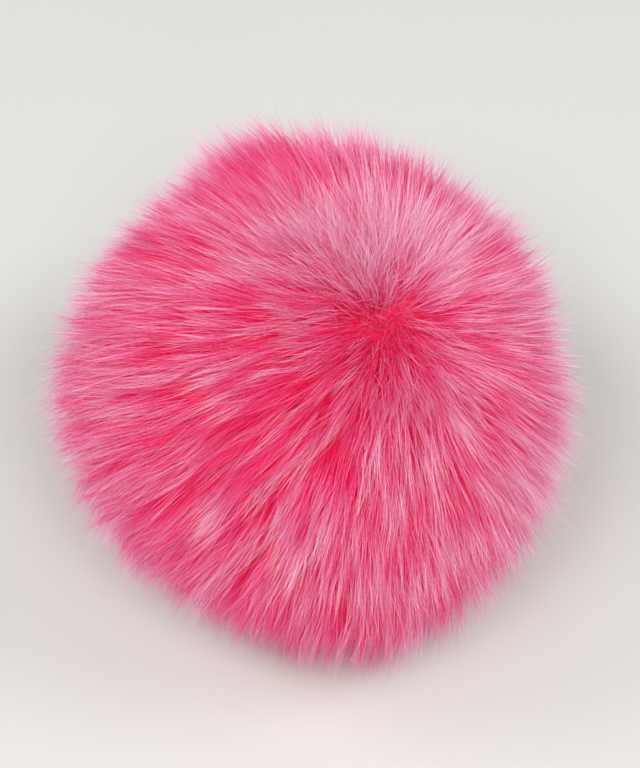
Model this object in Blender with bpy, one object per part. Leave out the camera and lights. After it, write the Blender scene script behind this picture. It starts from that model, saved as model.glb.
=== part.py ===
"""Pom pom: a disc of long-pile faux fur gathered into a ball.

One solid: a small closed backing, with the pile standing out of it as separate locks.
The pile parts at a whorl near the top and is combed away from it. Underneath, the pile
is pressed into a flat patch that the ball rests on, and the shorter locks around the
patch come down level with it. The origin is the middle of that patch, +Z is up.
"""

import math
import random

import bmesh
import bpy
from mathutils import Matrix, Vector

# The ball, in metres.
BALL_RADIUS = 0.0500
BACKING_RADIUS = 0.0290
CENTRE_HEIGHT = 0.0400
CENTRE = Vector((0.0, 0.0, CENTRE_HEIGHT))

# The whorl that the pile is combed away from: its lean from straight up, and to which side.
WHORL_LEAN = math.radians(24.0)
WHORL_AZIMUTH = math.radians(-32.0)
COMB = 0.0110

# The pressed patch: the cone of backing above it, and its radius where it meets the surface.
PATCH_CONE = math.radians(34.0)
PATCH_RADIUS = 0.0185

# Locks: the gap at their roots, and their unevenness as shares of their length and spacing.
ROOT_GAP = 0.0005
LENGTH_JITTER = 0.03
TIP_JITTER = 0.0013
ROOT_JITTER = 0.0007
SEED = 11

# Rings of a lock above its root: share of the way to the tip, and width against the root.
LOCK_RINGS = (
    (0.35, 1.16),
    (0.70, 1.06),
    (1.00, 0.20),
)

# Where the ball swells or sinks: azimuth, elevation and width in degrees, share of the radius.
SWELLS = (
    (114.0, 33.0, 11.0, 0.085),
    (141.0, 24.0, 18.0, -0.050),
    (180.0, 0.0, 22.0, 0.025),
    (88.0, 35.0, 26.0, 0.015),
    (56.0, 30.0, 13.0, -0.030),
    (8.0, 6.0, 10.0, -0.080),
    (-72.0, -33.0, 24.0, 0.075),
    (-124.0, -30.0, 20.0, -0.045),
    (-111.0, 13.0, 11.0, -0.045),
    (-32.0, 65.0, 12.0, -0.040),
    (-32.0, 66.0, 9.0, -0.120),
)


def direction(azimuth, elevation):
    """Unit vector at an azimuth from +X and an elevation above level, in radians."""
    level = math.cos(elevation)
    return Vector((level * math.cos(azimuth), level * math.sin(azimuth), math.sin(elevation)))


WHORL = direction(WHORL_AZIMUTH, math.pi / 2 - WHORL_LEAN)


def pile_radius(normal):
    """Distance from the ball's centre to the tips of its pile along a direction."""
    swell = 0.0
    for azimuth, elevation, width, share in SWELLS:
        middle = direction(math.radians(azimuth), math.radians(elevation))
        away = math.degrees(normal.angle(middle))
        swell += share * math.exp(-((away / width) ** 2))
    return BALL_RADIUS * (1.0 + swell)


def random_step(rng, size):
    """Random vector of up to a size along each axis."""
    return Vector([rng.uniform(-size, size) for _ in range(3)])


def make_faux_fur():
    """Soft hot-pink pile."""
    material = bpy.data.materials.new("faux_fur_pink")
    material.use_nodes = True
    shader = material.node_tree.nodes["Principled BSDF"]
    shader.inputs["Base Color"].default_value = (0.76, 0.10, 0.22, 1.0)
    shader.inputs["Roughness"].default_value = 0.75
    shader.inputs["Metallic"].default_value = 0.0
    material.diffuse_color = (0.76, 0.10, 0.22, 1.0)
    return material


def add_backing(bm, rng):
    """Gathered backing: a ball of triangles with a slightly uneven spacing, a corner at the whorl."""
    turn = WHORL.to_track_quat("Z", "Y").to_matrix().to_4x4()
    bmesh.ops.create_icosphere(
        bm, subdivisions=3, radius=BACKING_RADIUS, matrix=Matrix.Translation(CENTRE) @ turn
    )
    for vert in bm.verts:
        moved = vert.co - CENTRE + random_step(rng, ROOT_JITTER)
        vert.co = CENTRE + moved.normalized() * BACKING_RADIUS


def add_pressed_patch(bm):
    """Pile under the ball, pressed together into one flat patch. Returns the faces it takes."""
    down = Vector((0.0, 0.0, -1.0))
    under = [
        face for face in bm.faces
        if (face.calc_center_median() - CENTRE).angle(down) < PATCH_CONE
    ]
    root = bmesh.ops.dissolve_faces(bm, faces=under, use_verts=True)["region"]
    foot = bmesh.ops.extrude_discrete_faces(bm, faces=root)["faces"][0]
    for vert in foot.verts:
        vert.co.z = 0.0
        vert.co = vert.co.normalized() * PATCH_RADIUS
    return {face for edge in foot.edges for face in edge.link_faces}


def lock_path(root, rng):
    """Points that a lock bends through: its root, a point straight out of it, and its tip."""
    normal = (root - CENTRE).normalized()
    facing = WHORL.dot(normal)
    combed = (normal * facing - WHORL) * (1.0 + facing) * COMB
    aim = (normal * BALL_RADIUS + combed + random_step(rng, TIP_JITTER)).normalized()
    reach = pile_radius(aim) * (1.0 + rng.uniform(-LENGTH_JITTER, LENGTH_JITTER))
    tip = CENTRE + aim * reach
    tip.z = max(tip.z, 0.0)
    knee = root + normal * (reach - BACKING_RADIUS) / 2.0
    return root, knee, tip


def grow_lock(bm, face, rng):
    """Lock of pile: the root triangle inset from its neighbours, then drawn out ring by ring."""
    bmesh.ops.inset_individual(bm, faces=[face], thickness=ROOT_GAP)
    root, knee, tip = lock_path(face.calc_center_median(), rng)
    spread = [vert.co - root for vert in face.verts]
    for share, width in LOCK_RINGS:
        middle = root * (1 - share) ** 2 + knee * 2 * share * (1 - share) + tip * share ** 2
        face = bmesh.ops.extrude_discrete_faces(bm, faces=[face])["faces"][0]
        for vert, offset in zip(face.verts, spread):
            vert.co = middle + offset * width
            vert.co.z = max(vert.co.z, 0.0) if middle.z > 0.0 else 0.0


def build_fur_ball(collection):
    """The whole pom pom as one closed solid."""
    rng = random.Random(SEED)
    bm = bmesh.new()
    add_backing(bm, rng)
    taken = add_pressed_patch(bm)
    for face in [face for face in bm.faces if face not in taken]:
        grow_lock(bm, face, rng)
    bmesh.ops.recalc_face_normals(bm, faces=bm.faces)
    for face in bm.faces:
        face.smooth = True
    mesh = bpy.data.meshes.new("fur_ball")
    bm.to_mesh(mesh)
    bm.free()
    mesh.materials.append(make_faux_fur())
    collection.objects.link(bpy.data.objects.new("fur_ball", mesh))


def build():
    for old in list(bpy.data.objects):
        bpy.data.objects.remove(old, do_unlink=True)
    collection = bpy.data.collections.new("pom_pom")
    bpy.context.scene.collection.children.link(collection)
    build_fur_ball(collection)


build()
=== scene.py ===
import math

import bmesh
import bpy
import numpy as np
from mathutils import Matrix, Vector
from mathutils.kdtree import KDTree


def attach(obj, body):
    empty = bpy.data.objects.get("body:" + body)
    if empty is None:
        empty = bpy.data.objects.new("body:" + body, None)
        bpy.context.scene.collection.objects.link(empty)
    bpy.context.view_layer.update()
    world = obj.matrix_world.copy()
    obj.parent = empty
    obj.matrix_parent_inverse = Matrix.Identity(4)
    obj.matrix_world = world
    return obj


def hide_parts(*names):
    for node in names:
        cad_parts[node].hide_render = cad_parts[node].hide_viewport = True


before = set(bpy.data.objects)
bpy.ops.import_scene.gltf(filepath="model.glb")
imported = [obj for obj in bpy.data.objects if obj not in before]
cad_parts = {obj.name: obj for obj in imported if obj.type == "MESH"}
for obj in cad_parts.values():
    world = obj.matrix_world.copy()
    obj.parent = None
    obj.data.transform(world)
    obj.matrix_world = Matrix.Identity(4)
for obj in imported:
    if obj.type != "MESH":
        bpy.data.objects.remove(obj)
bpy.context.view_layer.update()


# ---------------------------------------------------------------------------
# Table and studio
# A smooth white table top, seen from above at arm's length. A wide softbox stands high at
# the front and a weaker one on each side, so the shadow is a soft pool left and right.
# ---------------------------------------------------------------------------

TABLE_SIZE = 3.0
TABLE_WHITE = "#CDD1CF"
TABLE_GREY = "#C8CBC9"
# The room's pale walls and ceiling: height of a direction, brightness. They are a little cool.
ROOM_LIGHT = (
    (0.00, 0.46),
    (0.20, 0.34),
    (0.50, 0.24),
    (1.00, 0.18),
)
CAMERA_ELEVATION = math.radians(55.0)
CAMERA_DISTANCE = 0.50
CAMERA_LENS = 127.0
# The point that the camera looks at, just above the middle of the ball.
LOOK_AT = Vector((0.0005, 0.0, 0.0430))

# Softboxes: name, place, the point each faces, width, depth, watts, colour.
SOFTBOXES = (
    ("right", (0.80, -0.08, 0.98), (0.0, 0.0, 0.03), 0.45, 0.45, 4.8, "#FFFCFA"),
    ("left", (-0.80, 0.04, 0.98), (0.0, 0.0, 0.03), 0.45, 0.45, 4.0, "#FFFCFA"),
    ("front", (-0.06, -0.57, 1.11), (0.0, 0.0, 0.03), 1.00, 0.50, 14.6, "#FFFBF9"),
)


def linear(hex_colour):
    """sRGB hex colour as linear red, green, blue and an alpha of 1."""
    shares = [int(hex_colour[i:i + 2], 16) / 255 for i in (1, 3, 5)]
    return [s / 12.92 if s <= 0.04045 else ((s + 0.055) / 1.055) ** 2.4 for s in shares] + [1.0]


def add_node(tree, kind, inputs=None, **settings):
    """Adds a node, sets its properties, and links or sets its inputs."""
    node = tree.nodes.new(kind)
    for name, value in settings.items():
        setattr(node, name, value)
    for name, value in (inputs or {}).items():
        if isinstance(value, bpy.types.NodeSocket):
            tree.links.new(value, node.inputs[name])
        else:
            node.inputs[name].default_value = value
    return node


def new_material(name):
    """An empty node material. Returns it and its node tree."""
    material = bpy.data.materials.new(name)
    material.use_nodes = True
    material.node_tree.nodes.clear()
    return material, material.node_tree


def white_laminate():
    """White laminate: matt, with a soft sheen and a faint cloudy mottle a hand wide."""
    material, tree = new_material("white_laminate")
    place = add_node(tree, "ShaderNodeTexCoord")
    mottle = add_node(tree, "ShaderNodeTexNoise", {"Vector": place.outputs["Object"], "Scale": 9.0})
    tint = add_node(tree, "ShaderNodeValToRGB", {"Fac": mottle.outputs["Fac"]})
    tint.color_ramp.elements[0].color = linear(TABLE_GREY)
    tint.color_ramp.elements[1].color = linear(TABLE_WHITE)
    shader = add_node(tree, "ShaderNodeBsdfPrincipled", {"Base Color": tint.outputs["Color"]})
    shader.inputs["Roughness"].default_value = 0.62
    add_node(tree, "ShaderNodeOutputMaterial", {"Surface": shader.outputs["BSDF"]})
    return material


bm = bmesh.new()
bmesh.ops.create_grid(bm, x_segments=1, y_segments=1, size=TABLE_SIZE / 2)
table_mesh = bpy.data.meshes.new("table_top")
bm.to_mesh(table_mesh)
bm.free()
table_mesh.materials.append(white_laminate())
table_top = bpy.data.objects.new("table_top", table_mesh)
bpy.context.scene.collection.objects.link(table_top)

for name, place, target, width, depth, watts, colour in SOFTBOXES:
    lamp = bpy.data.lights.new(name, "AREA")
    lamp.shape = "RECTANGLE"
    lamp.size = width
    lamp.size_y = depth
    lamp.energy = watts
    lamp.color = linear(colour)[:3]
    softbox = bpy.data.objects.new(name, lamp)
    softbox.location = place
    softbox.rotation_euler = (Vector(target) - Vector(place)).to_track_quat("-Z", "Y").to_euler()
    bpy.context.scene.collection.objects.link(softbox)

world = bpy.data.worlds.new("studio")
world.use_nodes = True
room = world.node_tree
seen = add_node(room, "ShaderNodeTexCoord")
height = add_node(room, "ShaderNodeSeparateXYZ", {"Vector": seen.outputs["Generated"]})
walls = add_node(room, "ShaderNodeValToRGB", {"Fac": height.outputs["Z"]})
for level, _ in ROOM_LIGHT[1:-1]:
    walls.color_ramp.elements.new(level)
for stop, (level, light) in zip(walls.color_ramp.elements, ROOM_LIGHT):
    stop.position = level
    stop.color = (light * 0.98, light * 0.99, light, 1.0)
room.links.new(walls.outputs["Color"], room.nodes["Background"].inputs["Color"])
bpy.context.scene.world = world
bpy.context.scene.view_settings.view_transform = "Standard"

camera = bpy.data.objects.new("camera", bpy.data.cameras.new("camera"))
back = Vector((0.0, -math.cos(CAMERA_ELEVATION), math.sin(CAMERA_ELEVATION)))
camera.location = LOOK_AT + back * CAMERA_DISTANCE
camera.rotation_euler = (-back).to_track_quat("-Z", "Y").to_euler()
camera.data.lens = CAMERA_LENS
bpy.context.scene.collection.objects.link(camera)
bpy.context.scene.camera = camera


# ---------------------------------------------------------------------------
# Faux fur pile
# Modacrylic fibres, knitted into a backing that is gathered into a ball. The pile parts
# at a whorl near the top, lies away from it in fine wisps, and is pressed under the ball.
# Each fibre is a three-sided hair, bright crimson at its root and pale pink at its tip.
# ---------------------------------------------------------------------------

CENTRE = np.array([0.0, 0.0, 0.0400])
BALL_RADIUS = 0.0500
# Hairs bend out from here. Up to the dense radius the pile is too close to tell apart.
STEM_RADIUS = 0.0340
DENSE_RADIUS = 0.0400
FLOOR_GAP = 0.0002

WHORL_LEAN = math.radians(24.0)
WHORL_AZIMUTH = math.radians(-32.0)
# The pile's sideways lay at the tips, in metres, and the angle over which it sets in.
COMB = 0.0108
PARTING = math.radians(5.0)
# Low down the tips hang under their own weight: how far, in metres.
DROOP = 0.020

# Where the ball swells or sinks: azimuth, elevation and width in degrees, share of the radius.
SWELLS = (
    (114.0, 33.0, 11.0, 0.085),
    (141.0, 24.0, 18.0, -0.050),
    (180.0, 0.0, 22.0, 0.025),
    (88.0, 35.0, 26.0, 0.015),
    (56.0, 30.0, 13.0, -0.030),
    (8.0, 6.0, 10.0, -0.080),
    (-72.0, -33.0, 24.0, 0.075),
    (-124.0, -30.0, 20.0, -0.045),
    (-111.0, 13.0, 11.0, -0.045),
    (-32.0, 65.0, 12.0, -0.040),
)

# Ruffled spots, where hairs stand up and cross: azimuth, elevation and width in degrees, share.
RUFFLES = (
    (-10.0, 74.0, 10.0, 1.0),
    (0.0, 85.0, 11.0, 1.0),
    (-50.0, 57.0, 9.0, 0.5),
)

# Spots of deeper or paler pile: azimuth, elevation and width in degrees, shift of tone.
# Some are the pile's own tone and some are painted light: the pale spot low on the front
# is a painted sheen, and the deep spot under the front rim is painted shade.
TONE_SPOTS_AND_PAINTED_LIGHT = (
    (-46.0, 62.0, 8.0, -0.35),
    (-76.0, 60.0, 20.0, -0.24),
    (-8.0, 76.0, 11.0, 0.50),
    # Painted sheen: paler pile low on the front, where light glances off the tips.
    (-86.0, 25.0, 13.0, 0.40),
    (165.0, 12.0, 16.0, 0.10),
    (150.0, 58.0, 16.0, -0.14),
    (94.0, 72.0, 15.0, -0.52),
    (-122.0, 18.0, 14.0, -0.26),
    # Painted shade: deeper pile under the front rim, which turns away from the light.
    (-90.0, -16.0, 17.0, -0.46),
    (-14.0, 42.0, 22.0, 0.34),
    (-18.0, 14.0, 16.0, 0.34),
    (-46.0, 24.0, 15.0, 0.44),
    (120.0, 44.0, 16.0, 0.34),
)

# Layers of pile: name, hairs, rings in each, share of the radius reached (low, high),
# width in metres, pull into its wisp, stray share of the length, tone (low, high).
LAYERS = (
    # Partly painted shade: the shorter layers pile_under and pile_a take deep tones, which stand in for
    # the deep crimson shade in the gaps between the paler hairs over them.
    ("pile_under", 12000, 2, 0.82, 0.93, 0.00025, 0.20, 0.030, 0.05, 0.30),
    ("pile_a", 18500, 2, 0.895, 1.005, 0.00018, 0.55, 0.012, 0.08, 0.50),
    ("pile_b", 18500, 2, 0.925, 1.038, 0.00015, 0.60, 0.014, 0.46, 0.98),
    ("pile_c", 18500, 2, 0.935, 1.049, 0.00014, 0.50, 0.020, 0.52, 1.00),
    ("pile_guard", 18500, 2, 0.955, 1.080, 0.00011, 0.20, 0.040, 0.58, 1.05),
)
# Extra hairs over the whorl and the ruffled spots: name, hairs, rings and so on, as above.
WHORL_LAYERS = (
    ("pile_whorl", 2200, 2, 0.92, 1.02, 0.00015, 0.20, 0.050, 0.10, 0.50),
    ("pile_ruffle", 6000, 2, 0.95, 1.03, 0.00018, 0.35, 0.040, 0.75, 1.00),
)
# Hairs show from this share of their length on, where they leave the dense pile below, and
# from further down around the whorl: the share and the width in degrees.
HAIR_START = 0.34
WHORL_START = 0.08
WHORL_WIDTH = 14.0
# No hair reaches past this share of the radius. The lowest ones are trimmed a little more.
LONGEST = 1.085
UNDER_TRIM = 0.018
# Single hairs curl by about this much at their middle, in metres.
CURL = 0.00045
TONE_COLUMNS = 64

# Wisps of a few hairs, gathered in turn into tufts. Each has its own lean in metres, its
# reach as a share of the length and its tone, given here as how much they vary.
WISPS = 15000
WISP_LEAN = 0.0026
WISP_REACH = 0.016
WISP_TONE = 0.13
TUFTS = 950
TUFT_LEAN = 0.0018
TUFT_REACH = 0.010
TUFT_TONE = 0.05
TUFT_PULL = 0.20
TUFT_RADIUS = math.sqrt(4.0 / TUFTS)
# Neighbouring tufts also lean together in waves: their pitch in radians, and size in metres.
WAVE_PITCH = 0.5
WAVE_SIZE = 0.0014
# Pale and deep wisps run on from one to the next down the lay of the pile, as streaks: their
# length and width in radians. They are clearest around the middle of the front, which is
# given by its azimuth, elevation and width in degrees.
PARTED_FRONT = (-95.0, 32.0)
PARTED_WIDTH = 48.0
STREAK_LENGTH = 0.09
STREAK_WIDTH = 0.013
STREAK_TONE = 0.42


def direction(azimuth, elevation):
    """Unit vector at an azimuth from +X and an elevation above level, in degrees."""
    turn, rise = math.radians(azimuth), math.radians(elevation)
    return np.array([math.cos(rise) * math.cos(turn), math.cos(rise) * math.sin(turn), math.sin(rise)])


WHORL = direction(math.degrees(WHORL_AZIMUTH), 90.0 - math.degrees(WHORL_LEAN))


def unit(vectors):
    """Vectors scaled to a length of 1."""
    return vectors / np.maximum(np.linalg.norm(vectors, axis=-1, keepdims=True), 1e-12)


def angle_from(normals, middle):
    """Angles in radians between unit vectors and one middle direction."""
    return np.arccos(np.clip(normals @ middle, -1.0, 1.0))


def bump(normals, middle, width):
    """Smooth spot over the ball: 1 at its middle, fading over a width in degrees."""
    return np.exp(-((np.degrees(angle_from(normals, middle)) / width) ** 2))


def pile_radius(normals):
    """Distance from the ball's centre to the tips of its pile."""
    swell = np.zeros(len(normals))
    for azimuth, elevation, width, share in SWELLS:
        swell += share * bump(normals, direction(azimuth, elevation), width)
    return BALL_RADIUS * (1.0 + swell)


def ruffled(normals):
    """How ruffled the pile is at each place, from 0 to 1."""
    amount = np.zeros(len(normals))
    for azimuth, elevation, width, share in RUFFLES:
        amount = np.maximum(amount, share * bump(normals, direction(azimuth, elevation), width))
    return amount


def lowness(normals):
    """How far down the ball each place is: 0 on its upper half, 1 near its foot."""
    return np.clip((0.10 - normals[:, 2]) / 0.70, 0.0, 1.0)


def combed(normals):
    """Sideways lay of the pile at its tips in metres: away from the whorl, and down below."""
    facing = normals @ WHORL
    lay = unit(normals * facing[:, None] - WHORL)
    strength = (1.0 - np.exp(-angle_from(normals, WHORL) / PARTING)) * (1.5 + 0.5 * facing) / 1.5
    away = lay * (COMB * strength * (1.0 - 0.65 * ruffled(normals)))[:, None]
    down = unit(normals * normals[:, 2:] - np.array([0.0, 0.0, 1.0]))
    return away + down * (DROOP * lowness(normals))[:, None]


def parted(normals):
    """How clearly the pile parts into streaks at each place, from 0 to 1."""
    return bump(normals, direction(*PARTED_FRONT), PARTED_WIDTH)


def waves(normals, rng, pitch, size, terms=7):
    """Smooth random vectors over the ball: a pitch in radians and a size in metres."""
    total = np.zeros((len(normals), 3))
    for _ in range(terms):
        wave = unit(rng.normal(size=3)) * 2.0 * math.pi / pitch
        total += np.sin(normals @ wave + rng.uniform(0.0, 2.0 * math.pi))[:, None] * rng.normal(size=3)
    return total * size / math.sqrt(terms)


def even_directions(count, rng):
    """Unit vectors spread evenly over the ball on a golden spiral, each a little off its place."""
    steps = np.arange(count) + 0.5
    height = 1.0 - 2.0 * steps / count
    turn = steps * math.pi * (3.0 - math.sqrt(5.0))
    level = np.sqrt(1.0 - height ** 2)
    spiral = np.stack([level * np.cos(turn), level * np.sin(turn), height], axis=1)
    return unit(spiral + rng.normal(size=(count, 3)) * 0.9 / math.sqrt(count))


def hair_paths(normals, reach_share, lean, shares):
    """Points along each hair: straight out of the backing, then bent over to its tip."""
    aim = unit(normals * BALL_RADIUS + combed(normals) + lean)
    reach = pile_radius(aim) * reach_share
    root = CENTRE + normals * STEM_RADIUS
    tip = CENTRE + aim * reach[:, None]
    knee = root + normals * ((reach - STEM_RADIUS) * 0.55)[:, None]
    along = shares[..., None]
    return (
        root[:, None] * (1 - along) ** 2
        + knee[:, None] * 2 * along * (1 - along)
        + tip[:, None] * along ** 2
    )


def near(normals, tree):
    """Number of the nearest wisp or tuft to each place, and its distance."""
    found = [tree.find(normal) for normal in normals]
    return np.array([number for _, number, _ in found]), np.array([away for _, _, away in found])


def tree_of(normals):
    """Search tree over a set of places."""
    tree = KDTree(len(normals))
    for number, normal in enumerate(normals):
        tree.insert(normal, number)
    tree.balance()
    return tree


def streaked(normals, tree, values):
    """Values smoothed down the lay of the pile, so that like ones follow one another."""
    lay = unit(combed(normals))
    across = np.cross(normals, lay)
    result = np.empty(len(normals))
    for number, normal in enumerate(normals):
        found = np.array([other for _, other, _ in tree.find_range(normal, 2.0 * STREAK_LENGTH)])
        step = normals[found] - normal
        weight = np.exp(
            -((step @ lay[number] / STREAK_LENGTH) ** 2) - (step @ across[number] / STREAK_WIDTH) ** 2
        )
        result[number] = weight @ values[found] / math.sqrt(weight @ weight)
    return result


tuft_rng = np.random.default_rng(5)
tuft_normals = even_directions(TUFTS, tuft_rng)
tuft_tree = tree_of(tuft_normals)
tuft_lean = waves(tuft_normals, tuft_rng, WAVE_PITCH, WAVE_SIZE)
tuft_lean += tuft_rng.normal(size=(TUFTS, 3)) * TUFT_LEAN
tuft_reach = 1.0 + tuft_rng.normal(size=TUFTS) * TUFT_REACH
tuft_tone = tuft_rng.normal(size=TUFTS) * TUFT_TONE

wisp_rng = np.random.default_rng(6)
wisp_normals = even_directions(WISPS, wisp_rng)
wisp_tree = tree_of(wisp_normals)
wisp_tuft, _ = near(wisp_normals, tuft_tree)
wisp_lean = tuft_lean[wisp_tuft] + wisp_rng.normal(size=(WISPS, 3)) * WISP_LEAN
wisp_reach = 1.0 + wisp_rng.normal(size=WISPS) * WISP_REACH
wisp_tone = wisp_rng.normal(size=WISPS) * WISP_TONE
streak_tone = streaked(wisp_normals, wisp_tree, wisp_rng.normal(size=WISPS))
streak_tone *= STREAK_TONE * (0.30 + 0.70 * parted(wisp_normals))


def mesh_from_hairs(name, paths, widths, tones, rng):
    """One mesh of three-sided tapered hairs. Its UV maps hold the tone across and the length up."""
    count, rings = paths.shape[0], paths.shape[1] - 1
    run = unit(np.gradient(paths, axis=1))
    side = unit(np.cross(run, rng.normal(size=(count, 1, 3))))
    other = np.cross(run, side)
    taper = np.linspace(1.0, 0.0, rings + 1) ** 0.6
    half = (widths[:, None] * taper[None, :] / 2.0)[..., None]
    turns = [2.0 * math.pi * corner / 3.0 for corner in range(3)]
    around = np.stack([side * math.cos(a) + other * math.sin(a) for a in turns], axis=2)
    body = paths[:, :-1, None] + around[:, :-1] * half[:, :-1, None]
    points = np.concatenate([body.reshape(count, -1, 3), paths[:, -1:]], axis=1)
    points[..., 2] = np.maximum(points[..., 2], FLOOR_GAP)
    per_hair = points.shape[1]

    # Corner numbers and map places of one hair: the sides, the point, then the root.
    corners, sizes, across, up = [], [], [], []
    for ring in range(rings - 1):
        for corner in range(3):
            after = (corner + 1) % 3
            corners += [3 * ring + corner, 3 * ring + after, 3 * ring + 3 + after, 3 * ring + 3 + corner]
            across += [0.0, 1.0, 1.0, 0.0]
            up += [ring / rings] * 2 + [(ring + 1) / rings] * 2
            sizes.append(4)
    for corner in range(3):
        corners += [3 * (rings - 1) + corner, 3 * (rings - 1) + (corner + 1) % 3, per_hair - 1]
        across += [0.0, 1.0, 0.5]
        up += [(rings - 1) / rings] * 2 + [1.0]
        sizes.append(3)
    corners += [2, 1, 0]
    across += [0.0, 0.5, 1.0]
    up += [0.0] * 3
    sizes.append(3)

    first = np.arange(count)[:, None] * per_hair
    loops = (first + np.array(corners)).ravel()
    starts = np.concatenate([[0], np.cumsum(np.tile(sizes, count))[:-1]])
    column = np.floor(np.clip(tones, 0.0, 0.999) * TONE_COLUMNS)[:, None]
    u = (column + np.array(across)) / TONE_COLUMNS
    v = np.tile(np.array(up), (count, 1))
    places = np.stack([u, v], axis=2).ravel()

    mesh = bpy.data.meshes.new(name)
    mesh.vertices.add(count * per_hair)
    mesh.vertices.foreach_set("co", points.ravel())
    mesh.loops.add(len(loops))
    mesh.loops.foreach_set("vertex_index", loops)
    mesh.polygons.add(len(starts))
    mesh.polygons.foreach_set("loop_start", starts)
    mesh.update(calc_edges=True)
    mesh.polygons.foreach_set("use_smooth", np.zeros(len(starts), bool))
    for map_name in ("strand", "OFBake"):
        mesh.uv_layers.new(name=map_name).data.foreach_set("uv", places)
    mesh.uv_layers["strand"].active_render = True
    return mesh


def faux_fur_pile():
    """Modacrylic pile: bright dye at the root, frosted tips and a soft silky gloss.

    Its depths carry a painted crimson emission, strongest at the roots, standing in for the light that
    the fibres pass on to one another inside the pile.
    """
    material, tree = new_material("modacrylic_pile")
    place = add_node(tree, "ShaderNodeUVMap", uv_map="strand")
    parts = add_node(tree, "ShaderNodeSeparateXYZ", {"Vector": place.outputs["UV"]})
    tone = add_node(
        tree, "ShaderNodeMath", {0: parts.outputs["X"], 1: 0.85, 2: 0.38}, operation="MULTIPLY_ADD"
    )
    depth = add_node(
        tree, "ShaderNodeMath", {0: parts.outputs["Y"], 1: tone.outputs[0]}, operation="MULTIPLY"
    )
    dye = add_node(tree, "ShaderNodeValToRGB", {"Fac": depth.outputs[0]})
    ramp = dye.color_ramp
    ramp.elements[0].position = 0.08
    ramp.elements[0].color = linear("#E40848")
    ramp.elements[1].position = 1.0
    ramp.elements[1].color = linear("#F0CAE0")
    ramp.elements.new(0.42).color = linear("#DE387E")
    ramp.elements.new(0.72).color = linear("#E68AB8")
    shader = add_node(tree, "ShaderNodeBsdfPrincipled", {"Base Color": dye.outputs["Color"]})
    shader.inputs["Roughness"].default_value = 0.45
    shader.inputs["Specular IOR Level"].default_value = 0.20
    # Painted light: crimson emission set by depth, brightest near the roots and dim at the tips.
    painted_glow = add_node(tree, "ShaderNodeValToRGB", {"Fac": depth.outputs[0]})
    painted_glow.color_ramp.elements[0].position = 0.05
    painted_glow.color_ramp.elements[0].color = linear("#FF0048")
    painted_glow.color_ramp.elements.new(0.22).color = linear("#E00040")
    painted_glow.color_ramp.elements[-1].position = 0.75
    painted_glow.color_ramp.elements[-1].color = linear("#7C0024")
    tree.links.new(painted_glow.outputs["Color"], shader.inputs["Emission Color"])
    shader.inputs["Emission Strength"].default_value = 0.168
    shader.inputs["IOR"].default_value = 1.50
    add_node(tree, "ShaderNodeOutputMaterial", {"Surface": shader.outputs["BSDF"]})
    return material


pile_material = faux_fur_pile()


def add_piece(mesh, material):
    """A finished mesh as a piece of the pom pom."""
    mesh.materials.append(material)
    piece = bpy.data.objects.new(mesh.name, mesh)
    bpy.context.scene.collection.objects.link(piece)
    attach(piece, "root")
    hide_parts("fur_ball")
    return piece


def tone_shift_and_painted_light(normals):
    """Shift of tone at each place: partly the pile's own tone, partly painted sheen and shade."""
    shift = np.zeros(len(normals))
    for azimuth, elevation, width, tone in TONE_SPOTS_AND_PAINTED_LIGHT:
        shift += tone * bump(normals, direction(azimuth, elevation), width)
    return shift


def add_layer(normals, seed, rings, low, high, width, pull, stray, dark, pale, name):
    """One layer of pile with its hairs rooted at the given places."""
    rng = np.random.default_rng(100 + seed)
    count = len(normals)
    ruffle = ruffled(normals)
    wisp, _ = near(normals, wisp_tree)
    tuft, off = near(normals, tuft_tree)
    off = np.minimum(off / TUFT_RADIUS, 1.2) ** 2
    start = HAIR_START - (HAIR_START - WHORL_START) * bump(normals, WHORL, WHORL_WIDTH)
    shares = start[:, None] + (1.0 - start[:, None]) * np.linspace(0.0, 1.0, rings + 1)[None, :]
    under = lowness(normals)
    reach = high - (high - low) * rng.uniform(0.0, 1.0, count) * (1.0 - 0.5 * under)
    reach *= tuft_reach[tuft] * wisp_reach[wisp] * (1.0 - 0.04 * off)
    reach = np.minimum(reach, LONGEST - UNDER_TRIM * under)
    lean = wisp_lean[wisp]
    lean = lean + rng.normal(size=(count, 3)) * (BALL_RADIUS * (stray + 0.05 * ruffle))[:, None]
    paths = hair_paths(normals, reach, lean, shares)
    for pulled, middle, middle_lean in (
        (pull, wisp_normals[wisp], wisp_lean[wisp]),
        (TUFT_PULL, tuft_normals[tuft], tuft_lean[tuft]),
    ):
        gather = (pulled * (1.0 - 0.7 * ruffle))[:, None] * shares ** 1.4
        paths += (hair_paths(middle, reach, middle_lean, shares) - paths) * gather[..., None]
    curl = rng.normal(size=(count, 1, 3)) * (CURL * (1.0 + 1.5 * ruffle))[:, None, None]
    paths += curl * np.sin(shares * math.pi * 1.4)[..., None]

    # Tips lie beyond their roots, so a streak takes in the hairs whose tips land on it.
    landed, _ = near(unit(paths[:, -1] - CENTRE), wisp_tree)
    spread = rng.uniform(-0.5, 0.5, count) * (pale - dark) * (0.65 + 0.35 * parted(normals))
    tones = (dark + pale) / 2.0 + spread + tuft_tone[tuft] + wisp_tone[wisp] + streak_tone[landed]
    # Painted shade: hairs toward the edge of their tuft, in the gaps between tufts, take a deeper tone.
    tones += tone_shift_and_painted_light(normals) - 0.10 * off
    tones = np.clip(tones, 0.55 * dark, 1.0)
    widths = width * rng.uniform(0.75, 1.25, count)
    add_piece(mesh_from_hairs(name, paths, widths, tones, rng), pile_material)


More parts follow.
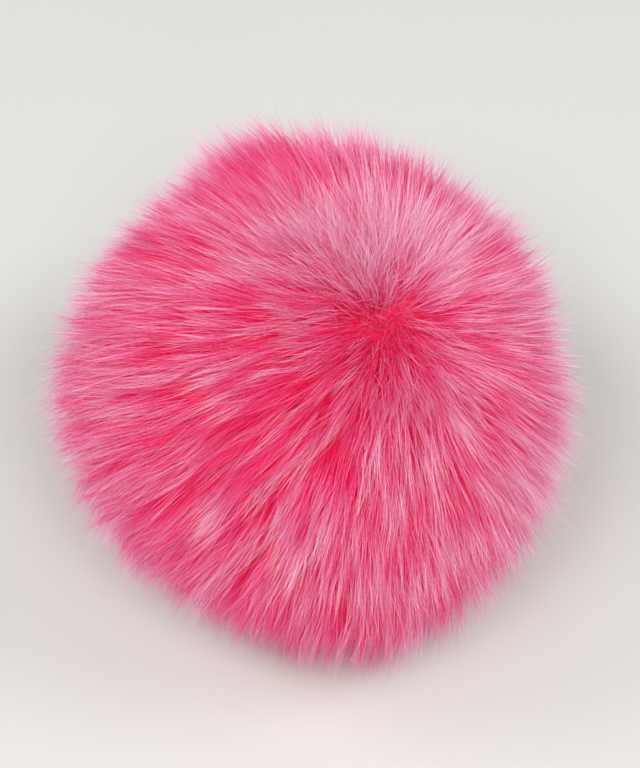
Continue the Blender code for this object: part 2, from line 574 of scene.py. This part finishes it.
def picked_directions(count, amount, rng):
    """Root places picked by how much an amount over the ball calls for them."""
    pool = even_directions(count * 40, rng)
    weight = amount(pool)
    return pool[rng.choice(len(pool), count, replace=False, p=weight / weight.sum())]


def around_whorl(normals):
    """How close each place is to the whorl, from 0 to 1."""
    return bump(normals, WHORL, 13.0)


for seed, (name, count, rings, *rest) in enumerate(LAYERS):
    add_layer(even_directions(count, np.random.default_rng(seed)), seed, rings, *rest, name)
for seed, (name, count, rings, *rest) in enumerate(WHORL_LAYERS, len(LAYERS)):
    amount = around_whorl if name == "pile_whorl" else ruffled
    add_layer(picked_directions(count, amount, np.random.default_rng(seed)), seed, rings, *rest, name)


# ---------------------------------------------------------------------------
# Dense pile at the backing
# A centimetre below the tips the fibres stand too close to tell apart. They are one soft
# crimson mass around the gathered backing, pressed flat where the ball rests.
# ---------------------------------------------------------------------------

def dense_pile():
    """Root ends of the pile, packed close: crimson and matt, mottled about every millimetre."""
    material, tree = new_material("modacrylic_roots")
    place = add_node(tree, "ShaderNodeTexCoord")
    mottle = add_node(
        tree, "ShaderNodeTexNoise", {"Vector": place.outputs["Object"], "Scale": 900.0, "Detail": 4.0}
    )
    dye = add_node(tree, "ShaderNodeValToRGB", {"Fac": mottle.outputs["Fac"]})
    dye.color_ramp.elements[0].position = 0.35
    dye.color_ramp.elements[0].color = linear("#C60844")
    dye.color_ramp.elements[1].position = 0.65
    dye.color_ramp.elements[1].color = linear("#DC0C50")
    shader = add_node(tree, "ShaderNodeBsdfPrincipled", {"Base Color": dye.outputs["Color"]})
    shader.inputs["Roughness"].default_value = 0.85
    add_node(tree, "ShaderNodeOutputMaterial", {"Surface": shader.outputs["BSDF"]})
    return material


bm = bmesh.new()
bmesh.ops.create_icosphere(bm, subdivisions=5, radius=DENSE_RADIUS, matrix=Matrix.Translation(CENTRE))
for vert in bm.verts:
    vert.co.z = max(vert.co.z, FLOOR_GAP * 4.0)
for face in bm.faces:
    face.smooth = True
core_mesh = bpy.data.meshes.new("pile_roots")
bm.to_mesh(core_mesh)
bm.free()
add_piece(core_mesh, dense_pile())
